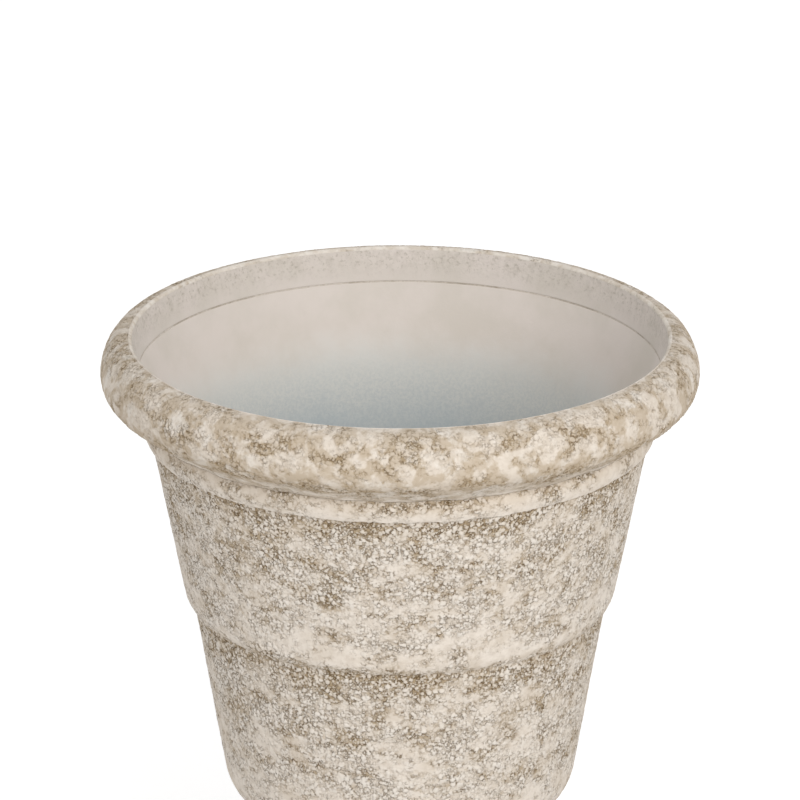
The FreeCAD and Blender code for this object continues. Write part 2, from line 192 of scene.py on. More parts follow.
def ring_faces(first, first_count, second, second_count):
    """Faces between two rings of points, as arrays of corners, each a point and its share of
    the turn. The rings have the same count, or one an even multiple of the other."""
    few = min(first_count, second_count)
    cell = np.arange(few)

    def corner(base, count, step):
        column = cell * (count // few) + step
        return np.stack([base + column % count, column / count], 1)

    if first_count == second_count:
        return [np.stack([corner(first, few, 0), corner(second, few, 0),
                          corner(second, few, 1), corner(first, few, 1)], 1)]
    many = max(first_count, second_count) // few
    fine_is_first = first_count > second_count
    fine, fine_count = (first, first_count) if fine_is_first else (second, second_count)
    wide, wide_count = (second, second_count) if fine_is_first else (first, first_count)
    fans = [(corner(fine, fine_count, i), corner(wide, wide_count, int(i >= many // 2)),
             corner(fine, fine_count, i + 1)) for i in range(many)]
    fans.append((corner(fine, fine_count, many // 2), corner(wide, wide_count, 0),
                 corner(wide, wide_count, 1)))
    return [np.stack(fan if fine_is_first else fan[::-1], 1) for fan in fans]


def turned_mesh(name, section):
    """The section turned about Z: a closed mesh with its finish values, rest places and map."""
    rows = section.rows
    counts = [columns for _, columns, _, _ in rows]
    starts = np.concatenate([[0], np.cumsum(counts)])
    places, values = [], {finish: [] for finish in FINISHES}
    for point, columns, _, finish in rows:
        angle = np.arange(columns) * 2 * math.pi / columns
        ring = np.stack([point[0] * np.cos(angle), point[0] * np.sin(angle),
                         np.full(columns, point[1])], 1)
        places.append(ring * MM)
        for key in FINISHES:
            values[key].append(np.full(columns, finish.get(key, 0.0)))
    places = np.concatenate(places)
    line = np.array([point for point, _, _, _ in rows])
    lengths = np.linalg.norm(np.roll(line, -1, 0) - line, axis=1)
    weight = lengths * np.where(np.array(counts) >= max(counts) // 2, 1.0, PLAIN_SHARE)
    along = np.concatenate([[0], np.cumsum(weight)]) / weight.sum()

    faces, heights, slots = [], [], []
    for row in range(len(rows)):
        after = (row + 1) % len(rows)
        if line[row][0] == line[after][0] == 0:
            continue
        for patch in ring_faces(starts[row], counts[row], starts[after], counts[after]):
            faces.append(patch)
            on_first = ((patch[:, :, 0] >= starts[row])
                        & (patch[:, :, 0] < starts[row] + counts[row]))
            heights.append(np.where(on_first, along[row], along[row + 1]))
            slots.append(np.full(len(patch), rows[row][2]))
    corners = np.concatenate([patch[:, :, 0].ravel() for patch in faces]).astype(np.int32)
    across = np.concatenate([patch[:, :, 1].ravel() for patch in faces])
    sides = np.concatenate([np.full(len(patch), patch.shape[1]) for patch in faces])
    heights = np.concatenate([height.ravel() for height in heights])

    mesh = bpy.data.meshes.new(name)
    mesh.vertices.add(len(places))
    mesh.loops.add(len(corners))
    mesh.polygons.add(len(sides))
    mesh.vertices.foreach_set("co", places.astype(np.float32).ravel())
    mesh.loops.foreach_set("vertex_index", corners)
    mesh.polygons.foreach_set("loop_start", (np.cumsum(sides) - sides).astype(np.int32))
    mesh.polygons.foreach_set("material_index", np.concatenate(slots).astype(np.int32))
    mesh.update(calc_edges=True)
    mesh.shade_smooth()
    layer = mesh.uv_layers.new(name="OFBake")
    layer.uv.foreach_set("vector", np.stack([across, heights], 1).astype(np.float32).ravel())
    rest = mesh.attributes.new("rest", "FLOAT_VECTOR", "POINT")
    rest.data.foreach_set("vector", places.astype(np.float32).ravel())
    for key in FINISHES:
        finish = mesh.attributes.new(key, "FLOAT", "POINT")
        finish.data.foreach_set("value", np.concatenate(values[key]).astype(np.float32))
    if (line[:, 0] == 0).any():
        merge_poles(mesh)
    return mesh


def merge_poles(mesh):
    """Makes each ring of no radius one point."""
    work = bmesh.new()
    work.from_mesh(mesh)
    bmesh.ops.remove_doubles(work, verts=work.verts, dist=MM / 1000)
    work.to_mesh(mesh)
    work.free()


# ---------------------------------------------------------------- fields made by nodes


class Field:
    """A number or a place at each point of a surface, worked out by the nodes of one tree."""

    def __init__(self, tree, socket):
        self.tree, self.socket = tree, socket

    def _math(self, operation, first, second=0.0):
        node = self.tree.nodes.new("ShaderNodeMath")
        node.operation = operation
        feed(node.inputs[0], first)
        feed(node.inputs[1], second)
        return Field(self.tree, node.outputs[0])

    def __add__(self, other):
        return self._math("ADD", self, other)

    def __sub__(self, other):
        return self._math("SUBTRACT", self, other)

    def __rsub__(self, other):
        return self._math("SUBTRACT", other, self)

    def __mul__(self, other):
        return self._math("MULTIPLY", self, other)

    def __truediv__(self, other):
        return self._math("DIVIDE", self, other)

    def most(self, other):
        return self._math("MAXIMUM", self, other)

    def least(self, other):
        return self._math("MINIMUM", self, other)

    def rise(self, low, high):
        """0 below low and 1 above high, smoothly, or the other way round if low is above high."""
        node = self.tree.nodes.new("ShaderNodeMapRange")
        node.interpolation_type = "SMOOTHSTEP"
        feed(node.inputs["Value"], self)
        feed(node.inputs["From Min"], low)
        feed(node.inputs["From Max"], high)
        return Field(self.tree, node.outputs["Result"])


def feed(socket, value):
    """Links a field to a socket, or sets the socket to a plain value."""
    if isinstance(value, Field):
        value.tree.links.new(value.socket, socket)
    else:
        socket.default_value = value


def attribute(tree, name, vector=False):
    """A value stored on the mesh, read in a material's tree or in a geometry tree."""
    if tree.bl_idname == "ShaderNodeTree":
        node = tree.nodes.new("ShaderNodeAttribute")
        node.attribute_name = name
        return Field(tree, node.outputs["Vector" if vector else "Fac"])
    node = tree.nodes.new("GeometryNodeInputNamedAttribute")
    node.data_type = "FLOAT_VECTOR" if vector else "FLOAT"
    node.inputs["Name"].default_value = name
    return Field(tree, node.outputs["Attribute"])


def vector_math(operation, first, second):
    """A place worked out from a place and a second one, or from a place and a factor."""
    node = first.tree.nodes.new("ShaderNodeVectorMath")
    node.operation = operation
    feed(node.inputs[0], first)
    feed(node.inputs["Scale"] if operation == "SCALE" else node.inputs[1], second)
    return Field(first.tree, node.outputs[0])


def stretched(place, *factors):
    """Makes a pattern finer along an axis by that axis's factor."""
    return vector_math("MULTIPLY", place, factors)


def shifted(place, seed):
    """The place moved by its seed, so that each seed gives a pattern of its own."""
    return vector_math("ADD", place, (seed * 1.37, seed * 0.71, seed * 2.11))


def noise(place, size, detail=2.0, roughness=0.5, seed=0):
    """Soft noise about 0.5, with features of that size in millimetres."""
    node = place.tree.nodes.new("ShaderNodeTexNoise")
    feed(node.inputs["Vector"], shifted(place, seed))
    node.inputs["Scale"].default_value = 1 / (size * MM)
    node.inputs["Detail"].default_value = detail
    node.inputs["Roughness"].default_value = roughness
    return Field(place.tree, node.outputs[0])


def noise_place(place, size, strength):
    """The place, pushed about by noise of that size. Both are millimetres."""
    node = place.tree.nodes.new("ShaderNodeTexNoise")
    feed(node.inputs["Vector"], place)
    node.inputs["Scale"].default_value = 1 / (size * MM)
    node.inputs["Detail"].default_value = 1.0
    away = vector_math("SUBTRACT", Field(place.tree, node.outputs[1]), (0.5, 0.5, 0.5))
    return vector_math("ADD", place, vector_math("SCALE", away, strength * MM))


# sizes of the crust's features and how deep they go, in millimetres
LUMP_SIZES = (4.5, 3.1, 2.1)
PATCH_SIZE, SPOT_SIZE = 32, 8
WIDE_SWELL, SMALL_SWELL, SWELL_SHARE = 0.9, 0.7, 0.8
LUMP_HEIGHT, GROUND_DEPTH, CREVICE_DEPTH = 0.35, 0.25, 0.5
WEAR_DEPTH, GRIT_DEPTH = 1.5, 0.3
SWAY_SIZE, SWAY_REACH = 34, 5.0


class Lumps:
    """Rounded lumps of up to that size in millimetres. A dome is 1 on top of a lump and 0 off
    it, and a moat is the narrow ring of ground along a lump's foot."""

    def __init__(self, place, size, ragged, seed):
        tree = place.tree
        node = tree.nodes.new("ShaderNodeTexVoronoi")
        feed(node.inputs["Vector"], shifted(place, seed))
        node.inputs["Scale"].default_value = 1 / (size * MM)
        split = tree.nodes.new("ShaderNodeSeparateXYZ")
        tree.links.new(node.outputs["Color"], split.inputs[0])
        radius = Field(tree, split.outputs[0]) * 0.3 + 0.3
        inside = radius + ragged - Field(tree, node.outputs["Distance"])
        self.dome = inside.rise(0.0, 0.22)
        self.moat = inside.rise(-0.22, -0.06) * inside.rise(0.08, -0.02)


class Crust:
    """The crust of the outside: clusters of small rounded lumps with moats darkened by dirt and
    painted shade, more or less filled in with smooth plaster. It is worked out from the mesh's rest
    places."""

    def __init__(self, tree):
        place = attribute(tree, "rest", vector=True)
        crust = attribute(tree, "crust")
        self.place, self.level = place, stretched(place, 1, 1, 1.5)
        wavy = noise_place(place, 3.0, 1.3)
        patch = noise(self.level, PATCH_SIZE, 3, 0.6, seed=1)
        spot = noise(self.level, SPOT_SIZE, 2, 0.5, seed=4)
        bare = crust * 0.78 + (patch - 0.5) * 3.2 + (spot - 0.5) * 2.0
        self.bare = bare.most(0.0).least(1.0)
        ragged = (noise(place, 1.8, 2, 0.6, seed=6) - 0.5) * 0.6
        large, middle, small = (Lumps(wavy, size, ragged, seed)
                                for size, seed in zip(LUMP_SIZES, (2, 3, 5)))
        heap = large.dome.most(middle.dome * 0.85).most(small.dome * 0.65)
        moat = large.moat.most(middle.moat * 0.9).most(small.moat * 0.75)
        broken = noise(place, 2.8, 2, 0.6, seed=15).rise(0.4, 0.56)
        self.heap = heap * self.bare
        self.crevice = moat * heap.rise(0.5, 0.1) * broken * self.bare
        self.low = (1.0 - heap) * self.bare

    def depth(self):
        """How far the surface lies below its outline, in millimetres."""
        place, free = self.place, attribute(self.place.tree, "free")
        swell = noise(place, 85, 1, 0.5, seed=7) * WIDE_SWELL
        swell = swell + noise(place, 22, 2, 0.5, seed=8) * SMALL_SWELL
        worn = attribute(place.tree, "edge") * noise(place, 14, 3, 0.6, seed=9).rise(0.3, 0.75)
        rough = noise(place, 4.5, 2, 0.6, seed=10) * GRIT_DEPTH
        crust = LUMP_HEIGHT - self.heap * LUMP_HEIGHT
        crust = crust + self.low * GROUND_DEPTH + self.crevice * CREVICE_DEPTH
        return (swell * SWELL_SHARE + crust + worn * WEAR_DEPTH + rough) * free

    def sway(self):
        """How far an edge wanders up or down, in millimetres."""
        wave = noise(self.place, SWAY_SIZE, 2, 0.5, seed=17) - 0.5
        return wave * attribute(self.place.tree, "sway") * SWAY_REACH


def press_relief(obj):
    """Moves the mesh's points inward by the crust's depth, and its edges up and down."""
    tree = bpy.data.node_groups.new("relief", "GeometryNodeTree")
    tree.interface.new_socket("Geometry", in_out="INPUT", socket_type="NodeSocketGeometry")
    tree.interface.new_socket("Geometry", in_out="OUTPUT", socket_type="NodeSocketGeometry")
    start, end = tree.nodes.new("NodeGroupInput"), tree.nodes.new("NodeGroupOutput")
    move = tree.nodes.new("GeometryNodeSetPosition")
    normal = Field(tree, tree.nodes.new("GeometryNodeInputNormal").outputs[0])
    crust = Crust(tree)
    upward = tree.nodes.new("ShaderNodeCombineXYZ")
    feed(upward.inputs["Z"], crust.sway() * MM)
    pressed = vector_math("SCALE", normal, crust.depth() * -MM)
    feed(move.inputs["Offset"], vector_math("ADD", pressed, Field(tree, upward.outputs[0])))
    tree.links.new(start.outputs[0], move.inputs["Geometry"])
    tree.links.new(move.outputs["Geometry"], end.inputs[0])
    modifier = obj.modifiers.new("relief", "NODES")
    modifier.node_group = tree
    graph = bpy.context.evaluated_depsgraph_get()
    mesh = bpy.data.meshes.new_from_object(
        obj.evaluated_get(graph), preserve_all_data_layers=True, depsgraph=graph)
    obj.modifiers.remove(modifier)
    obj.data = mesh


# ---------------------------------------------------------------- colours and materials


def shade(red, green, blue):
    """A colour given as it looks on a screen, 0 to 255, as the linear values nodes use."""
    parts = [c / 255 for c in (red, green, blue)]
    linear = [c / 12.92 if c <= 0.04045 else ((c + 0.055) / 1.055) ** 2.4 for c in parts]
    return (*linear, 1.0)


PALE = shade(233, 223, 211)
CREAM = shade(221, 210, 197)
TAN = shade(197, 181, 160)
BROWN = shade(161, 139, 107)
MOAT_DIRT_AND_SHADE = shade(110, 89, 60)
WHITE_WASH = shade(237, 231, 223)
INSIDE_BEIGE, INSIDE_PINK = shade(217, 208, 198), shade(225, 215, 207)
INSIDE_WHITE, INSIDE_GREY = shade(222, 222, 217), shade(192, 202, 206)
INSIDE_SALT, INSIDE_BLOOM = shade(168, 180, 187), shade(214, 212, 204)
LIP_SAND = shade(176, 166, 152)
MORTAR_PALE, MORTAR_SANDY, MORTAR_BROWN = (
    shade(218, 208, 198), shade(202, 191, 178), shade(128, 110, 84))
RUBBER, DUST = shade(38, 38, 40), shade(92, 88, 84)


def blend(first, second, amount):
    """A mix of two colours, each a field or a plain colour."""
    tree = amount.tree
    node = tree.nodes.new("ShaderNodeMix")
    node.data_type = "RGBA"
    feed(node.inputs[0], amount)
    feed(node.inputs[6], first)
    feed(node.inputs[7], second)
    return Field(tree, node.outputs[2])


def new_material(name):
    """A material with an empty tree but for its surface shader."""
    material = bpy.data.materials.new(name)
    material.use_nodes = True
    tree = material.node_tree
    surface = tree.nodes["Principled BSDF"]
    surface.inputs["Specular IOR Level"].default_value = 0.3
    return material, tree, surface


def bump(tree, surface, height, distance):
    """Fine relief for the light, from a height of 0 to 1 that stands for that many mm."""
    node = tree.nodes.new("ShaderNodeBump")
    node.inputs["Strength"].default_value = 1.0
    node.inputs["Distance"].default_value = distance * MM
    feed(node.inputs["Height"], height)
    tree.links.new(node.outputs["Normal"], surface.inputs["Normal"])


def crust_material():
    """Weathered outside of the tiers, neck band and foot."""
    material, tree, surface = new_material("weathered_crust")
    crust = Crust(tree)
    place = crust.place
    stain, pale = attribute(tree, "stain"), attribute(tree, "pale")
    wash = noise(crust.level, 24, 4, 0.62, seed=11)
    mottle = noise(place, 7, 3, 0.6, seed=12)
    runs = noise(stretched(place, 1, 1, 0.22), 9, 2, 0.5, seed=16).rise(0.5, 0.68)
    # Brown: a wash at random, plus dirt and painted shade under overhangs.
    brown = wash.rise(0.45, 0.66) * 0.7 + stain * (wash * 0.9 + runs * 0.5)
    brown = (brown * (1.0 - pale * 0.7)).least(1.0)
    base = blend(CREAM, PALE, mottle.rise(0.34, 0.6))
    base = blend(base, TAN, (brown * (crust.low * 0.7 + 0.5)).least(0.9))
    base = blend(base, BROWN, crust.low * (brown * 0.6 + 0.16))
    base = blend(base, WHITE_WASH, crust.heap * (1.0 - brown * 0.6) * 0.5)
    base = blend(base, PALE, pale * mottle.rise(0.3, 0.55) * 0.6)
    # The moats round the lumps are darkened with dirt and painted shade.
    base = blend(base, MOAT_DIRT_AND_SHADE, (crust.crevice * (brown * 0.4 + 0.62)).least(1.0))
    feed(surface.inputs["Base Color"], base)
    feed(surface.inputs["Roughness"], noise(place, 3, 2, 0.5, seed=13) * 0.12 + 0.8)
    grit = noise(place, 1.6, 3, 0.65, seed=14)
    bump(tree, surface, grit * 0.3 + crust.heap * 0.8 - crust.crevice * 0.6, 0.8)
    return material


def roll_material():
    """Weathered roll of the rim: tan blotches under brushed streaks of pale wash."""
    material, tree, surface = new_material("weathered_roll")
    crust = Crust(tree)
    place = crust.place
    stain, pale = attribute(tree, "stain"), attribute(tree, "pale")
    bent = noise_place(place, 26, 20)
    blotch = noise(bent, 15, 3, 0.55, seed=21)
    smear = noise(bent, 19, 4, 0.65, seed=22)
    mottle = noise(place, 7, 4, 0.65, seed=23)
    speckled = mottle.rise(0.36, 0.6) * 0.5 + 0.6
    # Tan blotches, plus brown dirt and painted shade where the roll turns under.
    tan = (blotch.rise(0.41, 0.58) * speckled + stain * 0.7).least(1.0)
    base = blend(CREAM, PALE, mottle.rise(0.34, 0.62))
    base = blend(base, TAN, tan * 0.9)
    base = blend(base, BROWN, (crust.low * (tan * 0.6 + 0.15) + stain * tan * 0.35).least(1.0))
    base = blend(base, WHITE_WASH, smear.rise(0.52, 0.64) * mottle.rise(0.3, 0.5) * 0.45)
    base = blend(base, WHITE_WASH, pale * mottle.rise(0.3, 0.58) * 0.5)
    # The moats round the lumps are darkened with dirt and painted shade.
    base = blend(base, MOAT_DIRT_AND_SHADE, (crust.crevice * (tan * 0.5 + 0.22)).least(1.0))
    feed(surface.inputs["Base Color"], base)
    feed(surface.inputs["Roughness"], noise(place, 3, 2, 0.5, seed=13) * 0.12 + 0.78)
    grit = noise(place, 1.6, 3, 0.65, seed=14)
    bump(tree, surface, grit * 0.3 + crust.heap * 0.4 - crust.crevice * 0.6, 0.7)
    return material


def inside_material():
    """Smooth cast inside: sandy at the lip, pale beige below it, and blue-grey with a pale
    bloom towards the floor. Drop and depth are millimetres below the crest."""
    material, tree, surface = new_material("cast_inside")
    place = attribute(tree, "rest", vector=True)
    split = tree.nodes.new("ShaderNodeSeparateXYZ")
    feed(split.inputs[0], place)
    drop = CREST_Z - Field(tree, split.outputs[2]) / MM
    cloud = noise(place, 60, 4, 0.6, seed=31)
    fleck = noise(place, 6, 4, 0.7, seed=32)
    depth = drop + (cloud - 0.5) * 44 + (fleck - 0.5) * 12
    lip = drop.rise(28, 8)
    base = blend(INSIDE_BEIGE, INSIDE_PINK, cloud.rise(0.35, 0.65))
    base = blend(base, INSIDE_WHITE, depth.rise(56, 104) * 0.9)
    base = blend(base, INSIDE_GREY, depth.rise(98, 168))
    salt = noise(place, 2.4, 3, 0.7, seed=35).rise(0.35, 0.65) * drop.rise(70, 120)
    base = blend(base, INSIDE_SALT, salt * 0.28)
    bloom = noise(place, 34, 4, 0.65, seed=36).rise(0.48, 0.62) * drop.rise(120, 230)
    base = blend(base, INSIDE_BLOOM, bloom * (fleck.rise(0.3, 0.6) * 0.4 + 0.2))
    sand = noise(place, 2.6, 3, 0.6, seed=34).rise(0.52, 0.7)
    base = blend(base, LIP_SAND, lip * (sand * 0.5 + fleck.rise(0.4, 0.7) * 0.3))
    feed(surface.inputs["Base Color"], base)
    surface.inputs["Roughness"].default_value = 0.62
    grit = noise(place, 1.8, 3, 0.6, seed=33) * (lip + 0.25)
    bump(tree, surface, grit + fleck * 0.25, 0.4)
    return material


def mortar_material():
    """Bedding mortar: pale and sandy, brown in places, and browned with dirt and painted shade
    where it lies under an overhang.
    """
    material, tree, surface = new_material("mortar_bed")
    place = attribute(tree, "rest", vector=True)
    sand = noise(place, 2.2, 4, 0.7, seed=41)
    gaps = noise(place, 24, 3, 0.6, seed=42).rise(0.45, 0.62)
    # Brown in random gaps, and dirt with painted shade in the crease under the roll and under the
    # bowl.
    mortar_dirt_and_shade = attribute(tree, "stain").most(gaps * 0.45)
    base = blend(MORTAR_PALE, MORTAR_SANDY, sand.rise(0.35, 0.65))
    base = blend(base, MORTAR_BROWN, mortar_dirt_and_shade * (sand * 0.7 + 0.4))
    feed(surface.inputs["Base Color"], base)
    surface.inputs["Roughness"].default_value = 0.9
    bump(tree, surface, sand, 0.6)
    return material


def rubber_material():
    """Dull black rubber with a bloom of dust."""
    material, tree, surface = new_material("plug_rubber")
    place = attribute(tree, "rest", vector=True)
    dust = noise(place, 9, 4, 0.65, seed=51)
    base = blend(RUBBER, DUST, dust.rise(0.5, 0.75) * 0.6)
    feed(surface.inputs["Base Color"], base)
    feed(surface.inputs["Roughness"], dust * 0.3 + 0.5)
    bump(tree, surface, noise(place, 0.8, 2, 0.5, seed=52), 0.08)
    return material


# ---------------------------------------------------------------- pieces
OUTER, INNER = 0, 1   # a piece's materials
# points round the axis
RIM_COLUMNS, BOWL_COLUMNS, FOOT_COLUMNS, FEW_COLUMNS = 1280, 1024, 640, 256
PLUG_COLUMNS = 96


def roll_outline(section):
    """The roll's outside, from the crest to the crease: three arcs and a straight underside."""
    side_rise = ROLL_WIDEST_DROP - ROLL_TOP_ROUND
    side_round = ((ROLL_WIDTH ** 2 + side_rise ** 2 - ROLL_TOP_ROUND ** 2)
                  / (2 * (ROLL_WIDTH - ROLL_TOP_ROUND)))
    slope = math.atan2(side_rise, side_round - ROLL_WIDTH)
    widest_z = CREST_Z - ROLL_WIDEST_DROP
    skin = dict(step=FINE, columns=RIM_COLUMNS, material=OUTER)
    section.arc(RIM_RADIUS - side_round * (1 - math.cos(slope)),
                widest_z + side_round * math.sin(slope), ROLL_TOP_ROUND, **skin,
                crust=(0.75, 0.7), free=(0.5, 1), stain=(0.4, 0.25), pale=(0.5, 0))
    section.arc(RIM_RADIUS, widest_z, side_round, **skin,
                crust=(0.7, 0.35), free=(1, 1), stain=(0.25, 0.3))
    centre = RIM_RADIUS - ROLL_LOW_ROUND
    offset, height = centre - (NECK_RADIUS + BED), widest_z - CREASE_Z
    turn = math.acos(ROLL_LOW_ROUND / math.hypot(offset, height)) - math.atan2(offset, height)
    # The roll's lower curve and underside are browned with dirt and painted shade.
    section.arc(centre + ROLL_LOW_ROUND * math.sin(turn),
                widest_z - ROLL_LOW_ROUND * math.cos(turn), ROLL_LOW_ROUND, **skin,
                crust=(0.3, 0.9), free=(1, 1), edge=(0, 0.6), stain=(0.3, 0.9), sway=(0, 0.3))
    section.line(NECK_RADIUS + BED, CREASE_Z, **skin, crust=(0.9, 0.4), free=(1, 0.15),
                 edge=(0.6, 0.2), stain=(0.7, 0.1), pale=(0, 0.4), sway=(0.3, 1))


def rim_ring():
    """Rolled rim with its lip and the socket for the bowl's spigot."""
    run = MOUTH_ROUND * math.tan((math.pi / 2 - LIP_TAPER) / 2)
    skin = dict(step=FINE, columns=RIM_COLUMNS)
    section = Section(MOUTH_RADIUS + run, CREST_Z)
    section.line(CREST_RADIUS, CREST_Z, **skin, material=OUTER, crust=(0, 0.6),
                 free=(0.2, 0.5), pale=(1, 0.5), stain=(0, 0.3))
    roll_outline(section)
    section.line(SOCKET_RADIUS, SHOULDER_Z, ROUGH, RIM_COLUMNS, INNER, sway=(1, 0))
    section.line(SEAM_RADIUS, SHOULDER_Z, ROUGH, RIM_COLUMNS, INNER)
    section.line(MOUTH_RADIUS - run * math.sin(LIP_TAPER), CREST_Z - run * math.cos(LIP_TAPER),
                 **skin, material=INNER, free=(0, 0.2))
    section.arc(MOUTH_RADIUS + run, CREST_Z, MOUTH_ROUND, FINE / 2, RIM_COLUMNS, OUTER,
                free=(0.2, 0.2), pale=(1, 1))
    return section


def rim_bond():
    """Mortar between rim and bowl, raked a little at the seam and at the crease."""
    section = Section(SEAM_RADIUS + RAKE, SHOULDER_Z)
    section.line(SOCKET_RADIUS, SHOULDER_Z, ROUGH, FEW_COLUMNS, OUTER)
    # The mortar in the crease under the roll is browned with dirt and painted shade.
    section.line(NECK_RADIUS + BED + RAKE, CREASE_Z + RAKE, COARSE, FEW_COLUMNS, OUTER,
                 stain=(0, 1), sway=(0, 1))
    section.line(NECK_RADIUS + RAKE, CREASE_Z + RAKE, ROUGH, FEW_COLUMNS, OUTER,
                 stain=(1, 1), sway=(1, 1))
    section.line(SPIGOT_RADIUS, SPIGOT_Z, ROUGH, FEW_COLUMNS, OUTER, sway=(1, 0))
    section.line(SPIGOT_BORE + RAKE, SPIGOT_Z, ROUGH, RIM_COLUMNS, OUTER)
    section.line(SEAM_RADIUS + RAKE, SHOULDER_Z, BED / 3, RIM_COLUMNS, OUTER)
    return section


def tier(section, end_radius, end_z, taper, skin):
    """A tier's face, from where the section stands: browned with dirt and painted shade under the
    overhang, crusted over the middle and smoother at the foot."""
    lean = math.tan(taper)
    top_radius, top_z = section.at
    section.line(top_radius - TIER_SHADE * lean, top_z - TIER_SHADE, **skin,
                 crust=(1.3, 1), stain=(1.4, 0.2), free=(0.9, 1), sway=(0.4, 0))
    section.line(end_radius + TIER_HEM * lean, end_z + TIER_HEM, **skin,
                 crust=(1, 0.75), stain=(0.25, 0.1), free=(1, 1))
    section.line(end_radius, end_z, **skin,
                 crust=(0.75, 0.55), stain=(0.15, 0.1), pale=(0, 0.4), free=(1, 1))


def bowl_shell():
    """Stepped bowl with its spigot, neck band, two tiers, floor, drain and locating ring."""
    skin = dict(step=FINE, columns=BOWL_COLUMNS, material=OUTER)
    plain = dict(columns=FEW_COLUMNS, material=INNER)
    section = Section(SPIGOT_BORE, SPIGOT_Z)
    section.line(SPIGOT_RADIUS, SPIGOT_Z, ROUGH, **plain)
    section.line(NECK_RADIUS, CREASE_Z, ROUGH, **plain, sway=(0, 1))
    half = math.hypot(BAND_HEIGHT, TIER_1_RADIUS + BAND_LIP - NECK_RADIUS) / 2
    swell = (half * half + BAND_BULGE * BAND_BULGE) / (2 * BAND_BULGE)
    # The band's top under the roll, and the tier's top under the band's lip, are browned with dirt
    # and painted shade.
    section.arc(TIER_1_RADIUS + BAND_LIP, BAND_LOW_Z, swell, **skin,
                crust=(0.6, 0.25), stain=(2.2, 0.2), pale=(0, 0.6), free=(0.15, 0.8), edge=(0, 0.5),
                sway=(1, 0.4))
    section.line(TIER_1_RADIUS, NECK_Z, **skin, crust=(0.6, 1.3), stain=(0.6, 1.4),
                 free=(0.8, 1), edge=(0.5, 0), sway=(0.4, 0.4))
    tier(section, TIER_1_EDGE_RADIUS, TIER_1_EDGE_Z, TIER_1_TAPER, skin)
    # The step under the upper tier's edge is browned with dirt and painted shade.
    section.arc(STEP_RADIUS, STEP_Z, STEP_ROUND, **skin, crust=(0.4, 1), stain=(0, 1.2),
                free=(1, 0.8), edge=(0, 0.6), sway=(0, 0.4))
    tier(section, TIER_2_EDGE_RADIUS, UNDERSIDE_Z, TIER_2_TAPER, skin)
    section.arc(BASE_FLAT_RADIUS, BASE_Z, UNDERSIDE_ROUND, **skin,
                crust=(0.35, 0.6), stain=(0, 0.6), free=(1, 0.8))
    section.line(BED_RADIUS, BASE_Z, MEDIUM, BOWL_COLUMNS // 2, OUTER,
                 crust=(0.6, 0.2), stain=(0.6, 1), free=(0.8, 0))
    section.line(LOCATOR_RADIUS, BASE_Z, ROUGH, **plain)
    section.line(LOCATOR_RADIUS, LOCATOR_Z, ROUGH, **plain)
    section.line(LOCATOR_RADIUS - LOCATOR_WALL, LOCATOR_Z, ROUGH, **plain)
    section.line(LOCATOR_RADIUS - LOCATOR_WALL, BASE_Z, ROUGH, **plain)
    section.line(DRAIN_RADIUS, BASE_Z, ROUGH, **plain)
    section.line(DRAIN_RADIUS, FLOOR_Z - RECESS_DEPTH, ROUGH, **plain)
    section.line(RECESS_RADIUS, FLOOR_Z - RECESS_DEPTH, ROUGH, **plain)
    section.line(RECESS_RADIUS, FLOOR_Z, ROUGH, **plain)
    section.line(FLOOR_FLAT_RADIUS, FLOOR_Z, COARSE, **plain)
    section.arc(CORE_LOW_RADIUS, CORE_LOW_Z, FLOOR_ROUND, COARSE, hollow=True, **plain)
    ease = THROAT_ROUND * math.tan((THROAT_TAPER - CORE_TAPER) / 2)
    section.line(THROAT_RADIUS - ease * math.sin(CORE_TAPER),
                 NECK_Z - ease * math.cos(CORE_TAPER), COARSE, **plain)
    section.arc(THROAT_RADIUS + ease * math.sin(THROAT_TAPER),
                NECK_Z + ease * math.cos(THROAT_TAPER), THROAT_ROUND, COARSE, **plain)
    section.line(SPIGOT_BORE, SPIGOT_Z, COARSE, **plain)
    return section


def foot_bond():
    """Mortar bed under the bowl and round its locating ring."""
    plain = dict(columns=FEW_COLUMNS, material=OUTER)
    section = Section(LOCATOR_RADIUS, BASE_Z)
    section.line(BED_RADIUS, BASE_Z, ROUGH, **plain)
    section.line(BED_RADIUS, FOOT_TOP_Z, FINE / 2, FOOT_COLUMNS, OUTER, stain=(1, 1))
    section.line(STEM_BORE, FOOT_TOP_Z, ROUGH, **plain)
    section.line(STEM_BORE, LOCATOR_Z, ROUGH, **plain)
    section.line(LOCATOR_RADIUS, LOCATOR_Z, ROUGH, **plain)
    section.line(LOCATOR_RADIUS, BASE_Z, ROUGH, **plain)
    return section


